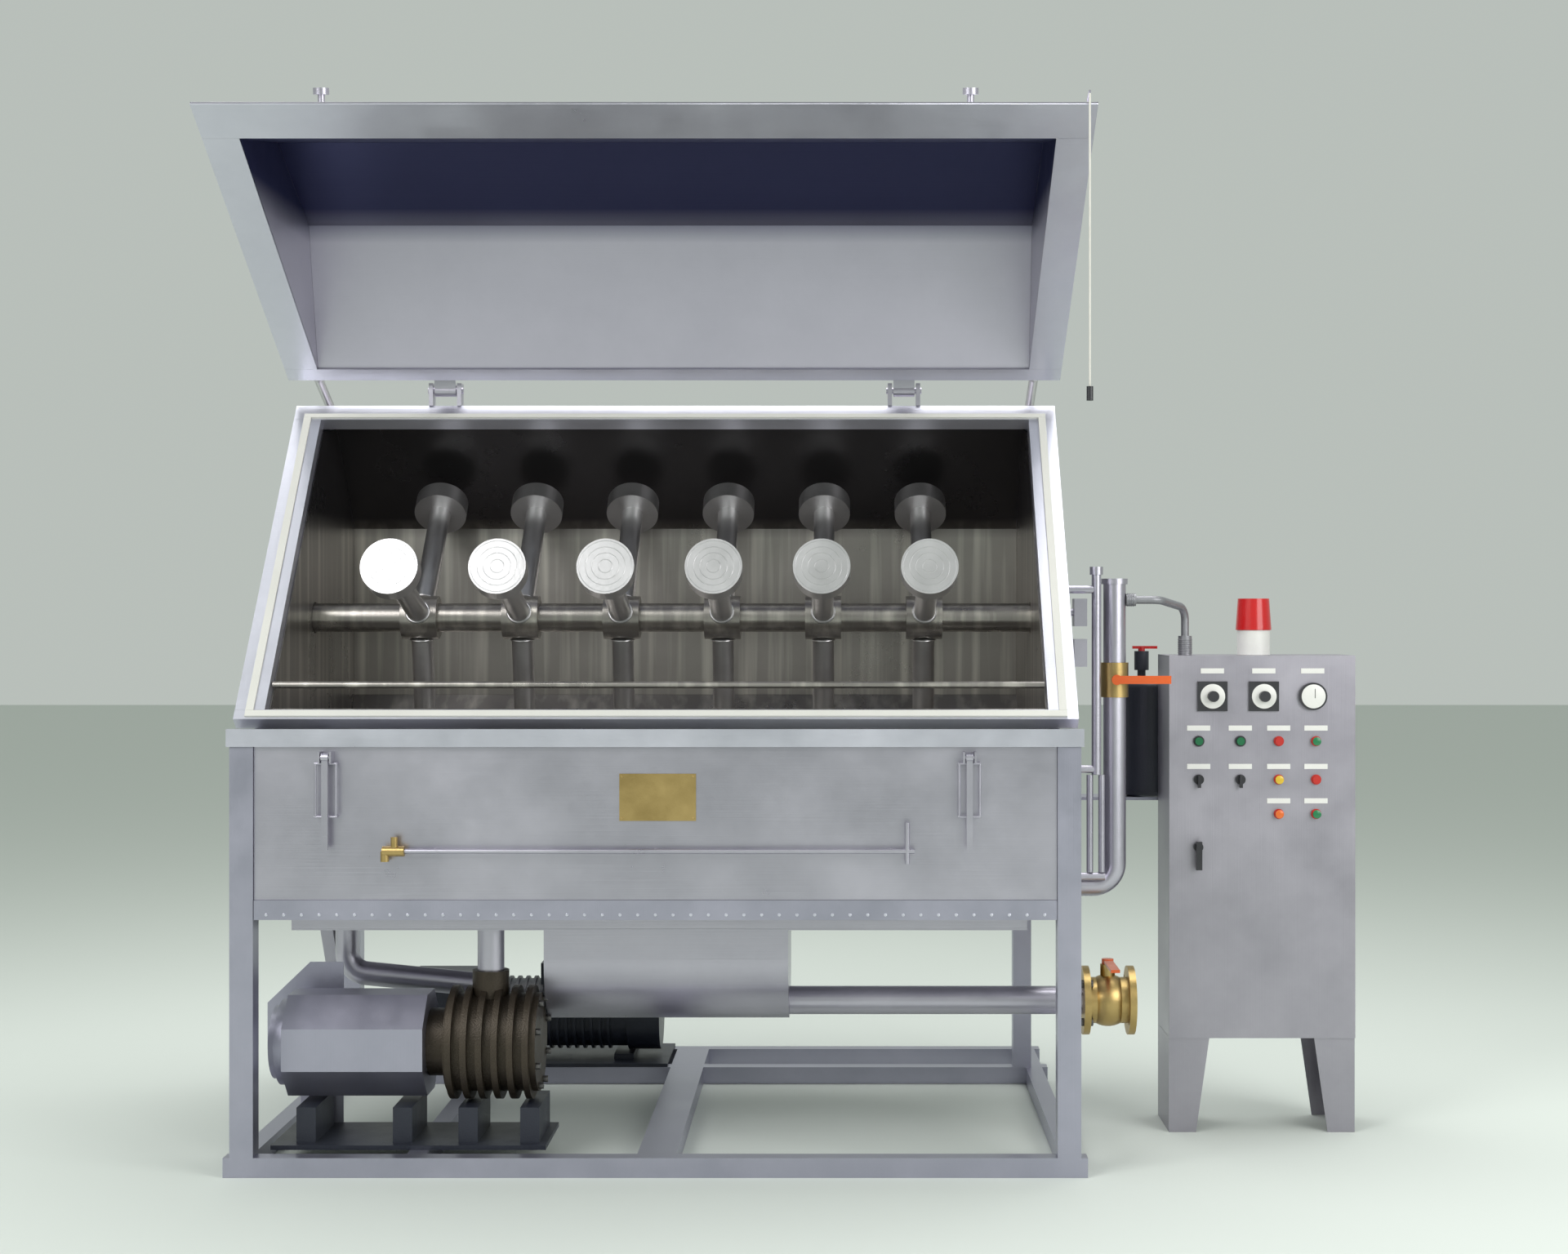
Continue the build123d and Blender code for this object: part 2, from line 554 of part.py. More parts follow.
with BuildPart() as pump_head:
    rod(at(-609.5, PUMP_Y, PUMP_Z), at(-560, PUMP_Y, PUMP_Z), 88)
    rod(at(-560, PUMP_Y, PUMP_Z), at(-320, PUMP_Y, PUMP_Z), 128)
    for rib in range(6):
        rib_x = -552 + 40 * rib
        rod(at(rib_x, PUMP_Y, PUMP_Z), at(rib_x + 16, PUMP_Y, PUMP_Z), 148)
    rod(at(-452, PUMP_Y, PUMP_Z + 100), at(-452, PUMP_Y, PUMP_Z + 190), 48)
    with BuildSketch(SIDE.offset(-440)):
        with Locations((PUMP_Y, PUMP_Z)):
            Circle(100)
    extrude(amount=80, mode=Mode.SUBTRACT)
finish(pump_head, "pump_head")

with BuildPart() as pump_impeller:
    rod(at(-438, PUMP_Y, PUMP_Z), at(-428, PUMP_Y, PUMP_Z), 90)
    rod(at(-428, PUMP_Y, PUMP_Z), at(-380, PUMP_Y, PUMP_Z), 22)
    for blade in range(5):
        turn = math.radians(72 * blade)
        tip = Vector(0, math.cos(turn), math.sin(turn)) * 82
        rod(at(-418, PUMP_Y, PUMP_Z), at(-418, PUMP_Y, PUMP_Z) + tip, 9)
finish(pump_impeller, "pump_impeller")

with BuildPart() as pump_pipes:
    rod(at(-452, PUMP_Y, PUMP_Z + 190.4), at(-452, PUMP_Y, 611.6), 35)
    pipe([at(-900, 560, 611.6), at(-900, 560, 440), at(-500, 560, 400),
          at(-500, 350, 330)], 33, 60)
finish(pump_pipes, "pump_pipes")

# ---- end pipework ----
with BuildPart() as riser_pipe:
    pipe([at(SKIN_IN + SHEET + 0.4, RISER_Y, 690), at(RISER_X, RISER_Y, 690),
          at(RISER_X, RISER_Y, 1205)], RISER_R, 60)
    rod(at(RISER_X, RISER_Y, 1300.4), at(RISER_X, RISER_Y, 1523), RISER_R)
    rod(at(RISER_X, RISER_Y, 1515), at(RISER_X, RISER_Y, 1530), RISER_R + 5)
finish(riser_pipe, "riser_pipe")

with BuildPart() as riser_valve_body:
    rod(at(RISER_X, RISER_Y, 1205.4), at(RISER_X, RISER_Y, 1300), RISER_R + 7)
    rod(at(RISER_X, RISER_Y, 1254), at(RISER_X, RISER_Y - 48, 1254), 12)
finish(riser_valve_body, "riser_valve_body")

with BuildPart() as riser_lever:
    rod(at(RISER_X, RISER_Y - 48.4, 1254), at(RISER_X, RISER_Y - 60, 1254), 14)
    block((RISER_X, 1370), (RISER_Y - 58, RISER_Y - 52), (1243, 1265))
finish(riser_lever, "riser_lever")

with BuildPart() as end_fittings:
    rod(at(1168, 440, 995), at(1168, 440, 1540), 13)
    rod(at(1168, 440, 1540.2), at(1168, 440, 1562), 18)
    for level in (1010, 1500):
        rod(at(SKIN_IN + SHEET + 0.4, 440, level), at(1168, 440, level), 11)
    for level in (1290, 1400):
        block((1105, 1140), (410, 470), (level, level + 75))
        rod(at(SKIN_IN + SHEET + 0.4, 440, level + 38), at(1105, 440, level + 38), 10)
    for drop_x in (1150, 1182):
        rod(at(drop_x, 440, 729), at(drop_x, 440, 994.6), 9)
    rod(at(SKIN_IN + SHEET + 0.4, 440, 717), at(1191, 440, 717), 11)
finish(end_fittings, "end_fittings")

VESSEL_X, VESSEL_Y = 1375.0, 870.0
with BuildPart() as expansion_vessel:
    rod(at(VESSEL_X, VESSEL_Y, 905), at(VESSEL_X, VESSEL_Y, 1237), 85)
    fillet(edges().filter_by(GeomType.CIRCLE), 18)
    rod(at(1345, VESSEL_Y, 1230), at(1345, VESSEL_Y, 1280), 12)
    rod(at(1345, VESSEL_Y, 1270), at(1345, VESSEL_Y, 1325), 21)
finish(expansion_vessel, "expansion_vessel")

with BuildPart() as vessel_lever:
    rod(at(1345, VESSEL_Y, 1325.4), at(1345, VESSEL_Y, 1340), 10)
    block((1318, 1390), (VESSEL_Y - 8, VESSEL_Y + 8), (1332, 1340))
finish(vessel_lever, "vessel_lever")

with BuildPart() as vessel_bracket:
    block((SKIN_IN + SHEET + 0.4, 1440), (VESSEL_Y - 60, VESSEL_Y + 60), (896, 904.6))
    block((SKIN_IN + SHEET + 0.4, 1042), (VESSEL_Y - 60, VESSEL_Y + 60), (904.6, 1010))
finish(vessel_bracket, "vessel_bracket")

CONDUIT = [at(1254, 480, 1472), at(1345, 480, 1472), at(1434, 610, 1450), at(1434, 610, 1345)]
with BuildPart() as conduit:
    pipe(CONDUIT, 11, 40)
    rod(at(1253.4, 480, 1472), at(1280, 480, 1472), 17, 11.1)
    rod(at(1434, 610, CAB_Z[1] + 0.4), at(1434, 610, 1372), 19, 11.1)
finish(conduit, "conduit")

# ---- control cabinet ----
CAB_SHEET = 2.0
with BuildPart() as cabinet_shell:
    block(CAB_X, (CAB_Y[1] - CAB_SHEET, CAB_Y[1]), CAB_Z)
    inner_y = (CAB_Y[0], CAB_Y[1] - CAB_SHEET - SEAM)
    for wall_z in ((CAB_Z[0], CAB_Z[0] + CAB_SHEET), (CAB_Z[1] - CAB_SHEET, CAB_Z[1])):
        block(CAB_X, inner_y, wall_z)
    inner_z = (CAB_Z[0] + CAB_SHEET + SEAM, CAB_Z[1] - CAB_SHEET - SEAM)
    for wall_x in ((CAB_X[0], CAB_X[0] + CAB_SHEET), (CAB_X[1] - CAB_SHEET, CAB_X[1])):
        block(wall_x, inner_y, inner_z)
finish(cabinet_shell, "cabinet_shell")

with BuildPart() as cabinet_legs:
    for outer, inner, toe in (
        (CAB_X[0], CAB_X[0] + 112, CAB_X[0] + 75),
        (CAB_X[1], CAB_X[1] - 112, CAB_X[1] - 75),
    ):
        for leg_y in ((CAB_Y[0], CAB_Y[0] + SHEET), (CAB_Y[1] - SHEET, CAB_Y[1])):
            with BuildSketch(Plane.XZ.offset(-(FRONT + leg_y[0]))):
                with BuildLine():
                    Polyline((outer, CAB_Z[0] - 0.4), (inner, CAB_Z[0] - 0.4), (toe, 0), (outer, 0),
                             close=True)
                make_face()
            extrude(amount=-SHEET)
        plate_x = sorted((outer, outer + math.copysign(SHEET, inner - outer)))
        block(plate_x, (CAB_Y[0] + SHEET + SEAM, CAB_Y[1] - SHEET - SEAM), (0, CAB_Z[0] - 0.4))
finish(cabinet_legs, "cabinet_legs")

BEACON_X, BEACON_Y = 1631.0, 640.0
with BuildPart() as beacon_base:
    rod(at(BEACON_X, BEACON_Y, CAB_Z[1] + 0.4), at(BEACON_X, BEACON_Y, 1388), 46)
finish(beacon_base, "beacon_base")

with BuildPart() as beacon_lens:
    with BuildSketch(Plane(origin=at(BEACON_X, BEACON_Y, 1388.4))):
        Circle(50)
    extrude(amount=88, taper=4)
finish(beacon_lens, "beacon_lens")

# ---- cabinet door and its controls ----
FACE = DOOR_Y[0]
COLUMNS = (1459.0, 1574.0, 1680.0, 1783.0)
TOP_COLUMNS = (1497.0, 1639.0, 1774.0)
TOP_Z = 1206.0
ROWS = (1082.0, 976.0, 881.0)
with BuildPart() as cabinet_door:
    block(CAB_X, DOOR_Y, CAB_Z)
finish(cabinet_door, "cabinet_door")


def proud(x, z, radius, depth, start=0.0):
    """A round piece standing out of the door's face."""
    rod(at(x, FACE - start - 0.4, z), at(x, FACE - start - depth, z), radius)


with BuildPart() as panel_labels:
    for label_x in TOP_COLUMNS:
        block((label_x - 32, label_x + 32), (FACE - 2, FACE), (TOP_Z + 63, TOP_Z + 77))
    for row, columns in zip(ROWS, (COLUMNS, COLUMNS, COLUMNS[2:])):
        for label_x in columns:
            block((label_x - 32, label_x + 32), (FACE - 2, FACE), (row + 29, row + 43))
finish(panel_labels, "panel_labels")

with BuildPart() as panel_instruments:
    for plate_x in TOP_COLUMNS[:2]:
        block((plate_x - 41, plate_x + 41), (FACE - 8, FACE), (TOP_Z - 41, TOP_Z + 41))
    proud(TOP_COLUMNS[2], TOP_Z, 38, 14)
    for column in (0, 1):
        rod(at(COLUMNS[column], FACE - 0.4, ROWS[0]), at(COLUMNS[column], FACE - 7, ROWS[0]), 15, 11.5)
finish(panel_instruments, "panel_instruments")

LAMPS = ((2, 0), (3, 0), (2, 1), (3, 1), (2, 2), (3, 2))
with BuildPart() as indicator_lamps:
    for column, row in LAMPS:
        proud(COLUMNS[column], ROWS[row], 14, 6)
        proud(COLUMNS[column], ROWS[row], 11, 15)
finish(indicator_lamps, "indicator_lamps")

for column, button_name in enumerate(("start_button", "run_button")):
    with BuildPart() as button:
        rod(at(COLUMNS[column], FACE - 4, ROWS[0]), at(COLUMNS[column], FACE - 13, ROWS[0]), 11)
    finish(button, button_name)

for column, selector_name in enumerate(("mode_selector", "pump_selector")):
    with BuildPart() as selector:
        proud(COLUMNS[column], ROWS[1], 14, 8)
        block((COLUMNS[column] - 4, COLUMNS[column] + 4), (FACE - 22, FACE - 8),
              (ROWS[1] - 22, ROWS[1] + 12))
    finish(selector, selector_name)

for knob_x, knob_name in zip(TOP_COLUMNS[:2], ("timer_knob", "thermostat_knob")):
    with BuildPart() as knob:
        proud(knob_x, TOP_Z, 15, 20, 8)
    finish(knob, knob_name)

HANDLE_X, HANDLE_Z = 1457.0, 790.0
with BuildPart() as door_handle:
    proud(HANDLE_X, HANDLE_Z, 13, 16)
    block((HANDLE_X - 8, HANDLE_X + 8), (FACE - 30, FACE - 16), (HANDLE_Z - 62, HANDLE_Z + 16))
finish(door_handle, "door_handle")
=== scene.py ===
import json
import math
import bpy
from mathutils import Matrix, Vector


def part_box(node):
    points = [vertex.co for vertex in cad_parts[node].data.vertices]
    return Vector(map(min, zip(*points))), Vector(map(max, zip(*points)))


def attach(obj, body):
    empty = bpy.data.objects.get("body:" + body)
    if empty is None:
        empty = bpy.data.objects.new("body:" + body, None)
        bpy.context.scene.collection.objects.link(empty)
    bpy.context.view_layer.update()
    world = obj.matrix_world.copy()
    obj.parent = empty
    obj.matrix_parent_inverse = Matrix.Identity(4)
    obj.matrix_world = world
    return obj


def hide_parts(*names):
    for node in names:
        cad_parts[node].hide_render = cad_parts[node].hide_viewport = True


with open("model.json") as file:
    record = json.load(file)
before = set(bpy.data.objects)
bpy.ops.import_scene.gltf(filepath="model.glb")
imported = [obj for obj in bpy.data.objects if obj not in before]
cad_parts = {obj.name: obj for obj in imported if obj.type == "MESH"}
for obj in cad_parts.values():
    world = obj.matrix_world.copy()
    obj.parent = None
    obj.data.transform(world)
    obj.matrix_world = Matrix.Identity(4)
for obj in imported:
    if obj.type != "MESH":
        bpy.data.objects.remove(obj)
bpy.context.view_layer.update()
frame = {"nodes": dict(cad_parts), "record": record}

# The front plane of the legs, in metres; heights and depths below are in millimetres from it.
FRONT = -0.625
SHAFT_Y, SHAFT_Z = 600, 1423
STATIONS = [(i - 2.5) * 281 for i in range(6)]
PEG_ANGLES = (164.0, 44.0, 284.0)
PEG_END = 0.4898
PUMP_Y, PUMP_Z = 230, 305
OUTLET_Y, OUTLET_Z = 410, 385
FLANGE_BOLT_CIRCLE = 72.5
FINE = (200, 200, 200)
nodes = frame["nodes"]


# ---- shared shader group: wear, streaks of painted sheen and grain from object coordinates ----
def surface_group():
    g = bpy.data.node_groups.new("metal_wear_and_sheen", "ShaderNodeTree")
    face = g.interface
    face.new_socket(name="Scale", in_out="INPUT", socket_type="NodeSocketVector")
    for name in ("Detail", "Streak"):
        face.new_socket(name=name, in_out="INPUT", socket_type="NodeSocketFloat")
    for name in ("Grain", "Wear", "Streaks"):
        face.new_socket(name=name, in_out="OUTPUT", socket_type="NodeSocketFloat")
    n, l = g.nodes, g.links
    inp, out = n.new("NodeGroupInput"), n.new("NodeGroupOutput")
    coord = n.new("ShaderNodeTexCoord")
    mul = n.new("ShaderNodeVectorMath")
    mul.operation = "MULTIPLY"
    l.new(coord.outputs["Object"], mul.inputs[0])
    l.new(inp.outputs["Scale"], mul.inputs[1])
    grain = n.new("ShaderNodeTexNoise")
    grain.inputs["Scale"].default_value = 1.0
    grain.inputs["Detail"].default_value = 3.0
    l.new(mul.outputs[0], grain.inputs["Vector"])
    l.new(grain.outputs["Fac"], out.inputs["Grain"])
    wear = n.new("ShaderNodeTexNoise")
    wear.inputs["Detail"].default_value = 6.0
    wear.inputs["Roughness"].default_value = 0.62
    l.new(coord.outputs["Object"], wear.inputs["Vector"])
    l.new(inp.outputs["Detail"], wear.inputs["Scale"])
    l.new(wear.outputs["Fac"], out.inputs["Wear"])
    # Streaks: pale vertical bands of painted sheen, stretched upright and scaled by the Streak input.
    down = n.new("ShaderNodeVectorMath")
    down.operation = "MULTIPLY"
    down.inputs[1].default_value = (22.0, 22.0, 0.7)
    l.new(coord.outputs["Object"], down.inputs[0])
    sheen_streak = n.new("ShaderNodeTexNoise")
    sheen_streak.inputs["Scale"].default_value = 1.0
    sheen_streak.inputs["Detail"].default_value = 4.0
    l.new(down.outputs[0], sheen_streak.inputs["Vector"])
    ramp = n.new("ShaderNodeMapRange")
    ramp.inputs["From Min"].default_value = 0.48
    ramp.inputs["From Max"].default_value = 0.75
    l.new(sheen_streak.outputs["Fac"], ramp.inputs["Value"])
    amount = n.new("ShaderNodeMath")
    amount.operation = "MULTIPLY"
    l.new(ramp.outputs["Result"], amount.inputs[0])
    l.new(inp.outputs["Streak"], amount.inputs[1])
    l.new(amount.outputs[0], out.inputs["Streaks"])
    return g


WEAR_AND_SHEEN = surface_group()


def finish_material(name, colour, second, metallic, rough, grain=(6, 6, 6), detail=5.0, sheen_streak=0.0,
                    spread=0.18, bump=0.12, coat=0.0):
    """A metal, paint, plastic or rubber with two tones, grain and wear, and optional pale streaks of painted
    sheen.
    """
    m = bpy.data.materials.new(name)
    m.use_nodes = True
    n, l = m.node_tree.nodes, m.node_tree.links
    b = n["Principled BSDF"]
    b.inputs["Metallic"].default_value = metallic
    if coat:
        b.inputs["Coat Weight"].default_value = coat
    g = n.new("ShaderNodeGroup")
    g.node_tree = WEAR_AND_SHEEN
    g.inputs["Scale"].default_value = grain
    g.inputs["Detail"].default_value = detail
    g.inputs["Streak"].default_value = sheen_streak
    mix = n.new("ShaderNodeMix")
    mix.data_type = "RGBA"
    mix.inputs["A"].default_value = (*colour, 1)
    mix.inputs["B"].default_value = (*second, 1)
    l.new(g.outputs["Wear"], mix.inputs["Factor"])
    # Painted sheen: the streaks lighten the colour towards a pale tone.
    painted_sheen = n.new("ShaderNodeMix")
    painted_sheen.data_type = "RGBA"
    painted_sheen.inputs["B"].default_value = (0.72, 0.68, 0.62, 1)
    l.new(mix.outputs["Result"], painted_sheen.inputs["A"])
    l.new(g.outputs["Streaks"], painted_sheen.inputs["Factor"])
    l.new(painted_sheen.outputs["Result"], b.inputs["Base Color"])
    r = n.new("ShaderNodeMapRange")
    r.inputs["To Min"].default_value = max(0.04, rough - spread)
    r.inputs["To Max"].default_value = min(1.0, rough + spread)
    l.new(g.outputs["Wear"], r.inputs["Value"])
    l.new(r.outputs["Result"], b.inputs["Roughness"])
    bp = n.new("ShaderNodeBump")
    bp.inputs["Strength"].default_value = bump
    bp.inputs["Distance"].default_value = 0.002
    l.new(g.outputs["Grain"], bp.inputs["Height"])
    l.new(bp.outputs["Normal"], b.inputs["Normal"])
    return m


ALONG_X = (3.0, 420.0, 420.0)
UPRIGHT = (420.0, 420.0, 3.0)
M = {
    "stainless_frame": finish_material("frame_steel", (0.34, 0.34, 0.42), (0.50, 0.49, 0.58), 0.9, 0.36,
                                       UPRIGHT),
    "stainless_tank": finish_material("tank_steel", (0.40, 0.385, 0.45), (0.62, 0.60, 0.67), 0.95, 0.33,
                                      ALONG_X, 3.0),
    "stainless_bright": finish_material("bright_steel", (0.56, 0.56, 0.64), (0.74, 0.74, 0.82), 0.85, 0.34,
                                        ALONG_X, 4.0),
    # The trough's inside carries strong pale streaks of painted sheen (amount 0.85).
    "stainless_inside": finish_material("inside_steel", (0.24, 0.225, 0.21), (0.44, 0.41, 0.385), 0.85, 0.30,
                                        UPRIGHT, 2.4, 0.85, 0.14),
    "turned_steel": finish_material("turned_steel", (0.52, 0.51, 0.52), (0.70, 0.69, 0.70), 0.95, 0.34,
                                    (90, 90, 90), 8.0, spread=0.1),
    "chain_steel": finish_material("oily_steel", (0.07, 0.07, 0.075), (0.20, 0.19, 0.18), 0.9, 0.42, FINE),
    "black_machine": finish_material("black_paint", (0.008, 0.010, 0.018), (0.03, 0.034, 0.05), 0.0, 0.42,
                                     (240, 240, 240), 7.0, 0.0, 0.15, 0.3),
    "bronze_black_iron": finish_material("dark_iron", (0.022, 0.018, 0.014), (0.09, 0.07, 0.05), 0.6, 0.45,
                                         (260, 260, 260), 9.0, 0.0, 0.18, 0.5),
    "brass": finish_material("brass", (0.42, 0.28, 0.10), (0.60, 0.45, 0.20), 1.0, 0.35, (180, 180, 180),
                             12.0),
    "seal_rubber": finish_material("white_rubber", (0.60, 0.59, 0.55), (0.72, 0.71, 0.67), 0.0, 0.7,
                                   (300, 300, 300)),
    "orange_lever": finish_material("orange_dip", (0.80, 0.13, 0.015), (0.62, 0.09, 0.01), 0.0, 0.35,
                                    (200, 200, 200), 9.0, coat=0.3),
    "red_plastic": finish_material("red_plastic", (0.62, 0.008, 0.008), (0.45, 0.004, 0.006), 0.0, 0.22,
                                   (150, 150, 150), 9.0, spread=0.08, coat=0.4),
    "white_plastic": finish_material("white_plastic", (0.80, 0.79, 0.76), (0.70, 0.69, 0.66), 0.0, 0.32,
                                     (200, 200, 200), 9.0, spread=0.1),
    "cabinet_steel": finish_material("cabinet_steel", (0.30, 0.285, 0.33), (0.47, 0.45, 0.50), 0.9, 0.38,
                                     UPRIGHT, 4.0),
    "dark_plastic": finish_material("dark_plastic", (0.014, 0.014, 0.018), (0.035, 0.035, 0.04), 0.0, 0.35,
                                    (300, 300, 300), 12.0),
    "grey_conduit": finish_material("conduit_grey", (0.22, 0.22, 0.24), (0.34, 0.34, 0.36), 0.7, 0.45,
                                    (300, 300, 300)),
    "cord": finish_material("cord_fibre", (0.75, 0.73, 0.68), (0.6, 0.58, 0.53), 0.0, 0.85, (500, 500, 900),
                            30.0, bump=0.5),
    "green_plastic": finish_material("green_plastic", (0.01, 0.16, 0.06), (0.008, 0.11, 0.04), 0.0, 0.25,
                                     (200, 200, 200), 12.0, spread=0.08, coat=0.3),
    "lamp_plastic": finish_material("lamp_plastic", (0.55, 0.03, 0.02), (0.42, 0.02, 0.015), 0.0, 0.25,
                                    (200, 200, 200), 12.0, spread=0.08, coat=0.3),
}
M["lid_inside"] = finish_material("lid_inside_steel", (0.44, 0.42, 0.50), (0.60, 0.58, 0.66), 0.75, 0.40,
                                  ALONG_X, 3.0)
for lamp_name, tone in (("lamp_green", (0.012, 0.20, 0.07)), ("lamp_yellow", (0.75, 0.50, 0.03)),
                        ("lamp_orange", (0.80, 0.16, 0.02))):
    M[lamp_name] = finish_material(lamp_name, tone, tuple(0.75 * v for v in tone), 0.0, 0.25, FINE, 12.0,
                                   spread=0.08, coat=0.3)


def shade_above(material, low, high, tone):
    """The dark reflection that the upper plates of the trough and lid carry."""
    n, l = material.node_tree.nodes, material.node_tree.links
    b = n["Principled BSDF"]
    coord, split = n.new("ShaderNodeTexCoord"), n.new("ShaderNodeSeparateXYZ")
    l.new(coord.outputs["Object"], split.inputs[0])
    band = n.new("ShaderNodeMapRange")
    band.inputs["From Min"].default_value = low
    band.inputs["From Max"].default_value = high
    l.new(split.outputs["Z"], band.inputs["Value"])
    mix = n.new("ShaderNodeMix")
    mix.data_type = "RGBA"
    mix.inputs["B"].default_value = (*tone, 1)
    l.new(band.outputs["Result"], mix.inputs["Factor"])
    l.new(b.inputs["Base Color"].links[0].from_socket, mix.inputs["A"])
    l.new(mix.outputs["Result"], b.inputs["Base Color"])


shade_above(M["stainless_inside"], 1.66, 1.72, (0.085, 0.08, 0.085))
shade_above(M["lid_inside"], 2.46, 2.54, (0.045, 0.05, 0.13))
for part in frame["record"]["subparts"]:
    o = nodes[part["node"]]
    for i in range(max(1, len(o.material_slots))):
        if len(o.material_slots) <= i:
            o.data.materials.append(M[part["material_slot"]])
        else:
            o.material_slots[i].material = M[part["material_slot"]]


# ---- helpers for the pieces added here ----
def place(x, y, z):
    """Millimetres with y from the front plane, as metres in the row frame."""
    return Vector((x / 1000, FRONT + y / 1000, z / 1000))


def adopt(o, name, material, body=None, bevel=0.0, smooth=True):
    """Names a new piece, bakes its transform, and gives it its material and body."""
    o.name = name
    bpy.ops.object.select_all(action="DESELECT")
    o.select_set(True)
    bpy.context.view_layer.objects.active = o
    bpy.ops.object.transform_apply(location=True, rotation=True, scale=True)
    if bevel:
        b = o.modifiers.new("edge", "BEVEL")
        b.width = bevel
        b.segments = 2
        b.limit_method = "ANGLE"
        bpy.ops.object.modifier_apply(modifier="edge")
    if smooth:
        bpy.ops.object.shade_smooth_by_angle(angle=math.radians(35))
    o.data.materials.clear()
    o.data.materials.append(M[material])
    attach(o, body or "tank")
    return o


def joined(parts):
    bpy.ops.object.select_all(action="DESELECT")
    for p in parts:
        p.select_set(True)
    bpy.context.view_layer.objects.active = parts[0]
    bpy.ops.object.join()
    return bpy.context.active_object


def turned(centre, axis, radius, depth, sides=32):
    bpy.ops.object.select_all(action="DESELECT")
    q = Vector(axis).to_track_quat("Z", "Y")
    bpy.ops.mesh.primitive_cylinder_add(
        vertices=sides, radius=radius, depth=depth, location=centre, rotation=q.to_euler()
    )
    return bpy.context.active_object


def ringed(centre, axis, big, small):
    bpy.ops.object.select_all(action="DESELECT")
    q = Vector(axis).to_track_quat("Z", "Y")
    bpy.ops.mesh.primitive_torus_add(
        major_radius=big, minor_radius=small, major_segments=40, minor_segments=10, location=centre,
        rotation=q.to_euler()
    )
    return bpy.context.active_object


def boxed(centre, size):
    bpy.ops.object.select_all(action="DESELECT")
    bpy.ops.mesh.primitive_cube_add(size=1, location=centre)
    o = bpy.context.active_object
    o.scale = size
    return o


# rivets along the front bottom rail
rivets = [turned(place(-990 + 45 * i, 3.2, 668), (0, -1, 0), 0.0042, 0.003, 12) for i in range(45)]
adopt(joined(rivets), "front_rivets", "stainless_bright", bevel=0.0008)

# turned rings on the peg heads
rings = []
for station in STATIONS:
    for angle in PEG_ANGLES:
        out = Vector((0, math.cos(math.radians(angle)), math.sin(math.radians(angle))))
        face = place(station, SHAFT_Y, SHAFT_Z) + out * PEG_END
        for radius in (0.069, 0.052, 0.036, 0.018):
            rings.append(ringed(face, out, radius, 0.0011))
adopt(joined(rings), "peg_turning_rings", "turned_steel", "agitator")

# weld beads round the pegs' stems, at the shaft's collars
welds = []
for station in STATIONS:
    for angle in PEG_ANGLES:
        out = Vector((0, math.cos(math.radians(angle)), math.sin(math.radians(angle))))
        root = place(station, SHAFT_Y, SHAFT_Z) + out * 0.0605
        welds.append(ringed(root, out, 0.031, 0.0035))
adopt(joined(welds), "peg_welds", "turned_steel", "agitator")

# bolts of the outlet flange and pump head
bolts = []
for i in range(4):
    turn = math.radians(45 + 90 * i)
    bolt_y = OUTLET_Y + FLANGE_BOLT_CIRCLE * math.cos(turn)
    bolt_z = OUTLET_Z + FLANGE_BOLT_CIRCLE * math.sin(turn)
    for bolt_x in (1122, 1146):
        bolts.append(turned(place(bolt_x, bolt_y, bolt_z), (1, 0, 0), 0.011, 0.009, 6))
adopt(joined(bolts), "flange_bolts", "chain_steel", bevel=0.001)
bolts = []
for i in range(8):
    turn = math.radians(22.5 + 45 * i)
    spot = place(-314, PUMP_Y + 116 * math.cos(turn), PUMP_Z + 116 * math.sin(turn))
    bolts.append(turned(spot, (1, 0, 0), 0.009, 0.014, 6))
adopt(joined(bolts), "pump_bolts", "chain_steel", bevel=0.001)

# crimp ridges on the conduit's ends
crimps = [ringed(place(1258 + 5 * i, 480, 1472), (1, 0, 0), 0.0168, 0.0016) for i in range(4)]
crimps += [ringed(place(1434, 610, 1325 + 6 * i), (0, 0, 1), 0.0188, 0.0016) for i in range(7)]
adopt(joined(crimps), "conduit_crimps", "grey_conduit")

# nameplate rivets, gauge face, instrument dials and the gauge's needle
plate = [turned(place(x, 5.2, z), (0, -1, 0), 0.003, 0.002, 12) for x in (-85, 96) for z in (914, 1020)]
adopt(joined(plate), "nameplate_rivets", "brass", bevel=0.0005)
dial = turned(place(1774, 507.2, 1206), (0, -1, 0), 0.033, 0.0016, 48)
adopt(dial, "gauge_face", "white_plastic", "door", bevel=0.0004)
dial = [turned(place(x, 513.3, 1206), (0, -1, 0), 0.034, 0.0012, 48) for x in (1497, 1639)]
adopt(joined(dial), "instrument_dials", "white_plastic", "door", bevel=0.0003)
needle = boxed(place(1778, 506, 1214), (0.0016, 0.0008, 0.026))
adopt(needle, "gauge_needle", "dark_plastic", "door", bevel=0.0002, smooth=False)

# coloured caps of the lamps, in their columns and rows
for name, spots in (
    ("green_caps", ((1783, 1082), (1783, 881))),
    ("yellow_caps", ((1680, 976),)),
    ("orange_caps", ((1680, 881),)),
):
    caps = [turned(place(x, 505.6, z), (0, -1, 0), 0.0118, 0.006, 32) for x, z in spots]
    cap = adopt(joined(caps), name, "lamp_plastic", "door", bevel=0.0015)
    cap.data.materials[0] = M["lamp_" + name.split("_")[0]]
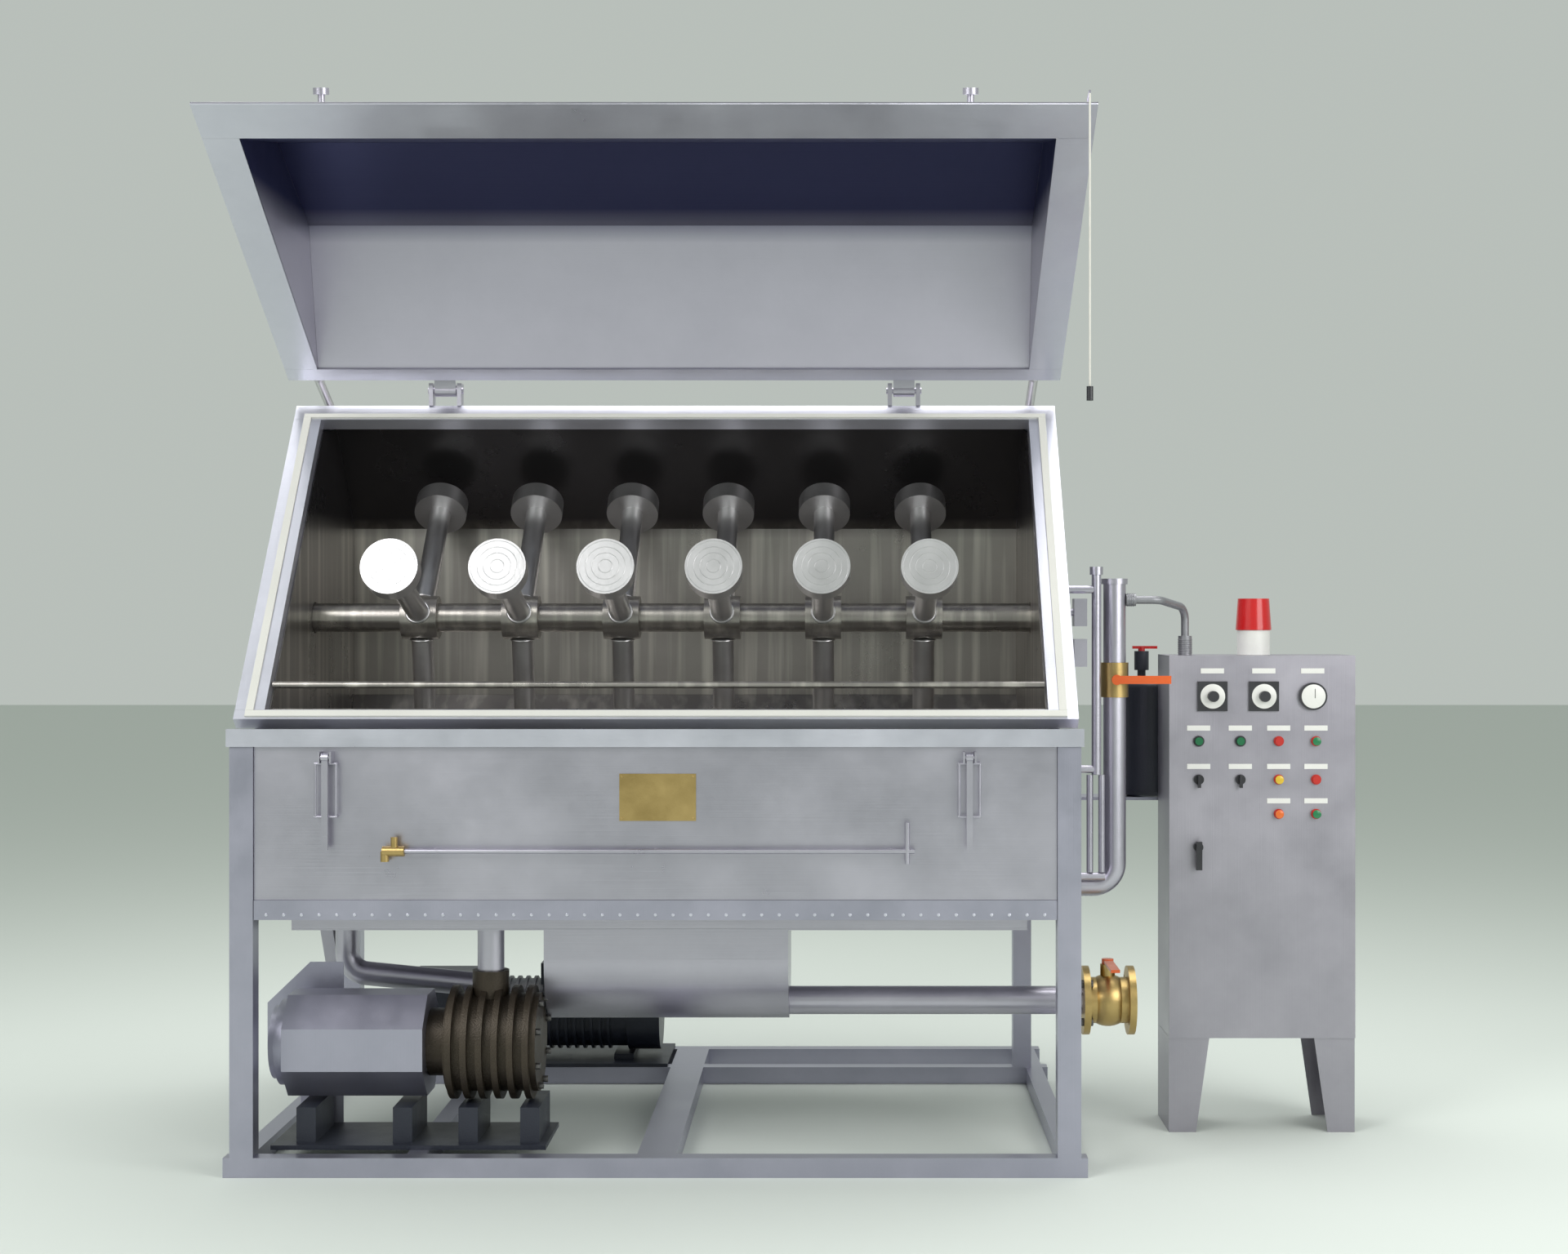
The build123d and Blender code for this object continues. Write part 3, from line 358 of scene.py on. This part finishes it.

# ---- pull cord, drawn as a curve ----
cord = nodes["pull_cord"]
top = Vector(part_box("pull_cord")[1])
low = Vector(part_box("pull_cord")[0])
mid_x, mid_y = (top.x + low.x) / 2, (top.y + low.y) / 2
curve = bpy.data.curves.new("pull_cord_curve", "CURVE")
curve.dimensions = "3D"
curve.bevel_depth = 0.0025
curve.bevel_resolution = 4
spline = curve.splines.new("NURBS")
spline.points.add(4)
for i in range(5):
    spline.points[i].co = (mid_x, mid_y, top.z + (low.z - top.z) * i / 4, 1)
spline.order_u = 3
spline.use_endpoint_u = True
line = bpy.data.objects.new("pull_cord_line", curve)
bpy.context.scene.collection.objects.link(line)
curve.materials.append(M["cord"])
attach(line, "cord")
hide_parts("pull_cord")

# ---- floor, light and camera ----
bpy.ops.object.select_all(action="DESELECT")
bpy.ops.mesh.primitive_plane_add(size=60, location=(0, 0, -0.0005))
floor = bpy.context.active_object
floor.name = "studio_floor"
floor_paint = bpy.data.materials.new("floor_paint")
floor_paint.use_nodes = True
floor_paint.node_tree.nodes["Principled BSDF"].inputs["Base Color"].default_value = (0.66, 0.70, 0.66, 1)
floor_paint.node_tree.nodes["Principled BSDF"].inputs["Roughness"].default_value = 0.9
floor.data.materials.append(floor_paint)
world = bpy.data.worlds.new("studio")
world.use_nodes = True
world.node_tree.nodes["Background"].inputs[0].default_value = (0.62, 0.67, 0.63, 1)
world.node_tree.nodes["Background"].inputs[1].default_value = 0.78
bpy.context.scene.world = world
for name, spot, size, power in (
    ("key", (-3.2, -4.5, 4.6), 3.4, 200),
    ("fill", (4.2, -4.0, 3.0), 3.4, 140),
    ("top", (0.5, 0.5, 5.2), 4.0, 190),
):
    light = bpy.data.lights.new(name, "AREA")
    light.size = size
    light.energy = power
    lamp = bpy.data.objects.new(name, light)
    lamp.location = spot
    aim = Vector((0.3, 0, 1.3)) - Vector(spot)
    lamp.rotation_euler = aim.to_track_quat("-Z", "Y").to_euler()
    bpy.context.scene.collection.objects.link(lamp)
lens = bpy.data.cameras.new("camera")
lens.lens = 54.2
lens.sensor_width = 36
lens.shift_x = -0.039
lens.shift_y = -0.0094
camera = bpy.data.objects.new("camera", lens)
camera.location = (0.4826, -6.625, 1.438)
camera.rotation_euler = (math.radians(90), 0, 0)
bpy.context.scene.collection.objects.link(camera)
bpy.context.scene.camera = camera
bpy.context.scene.view_settings.view_transform = "Standard"
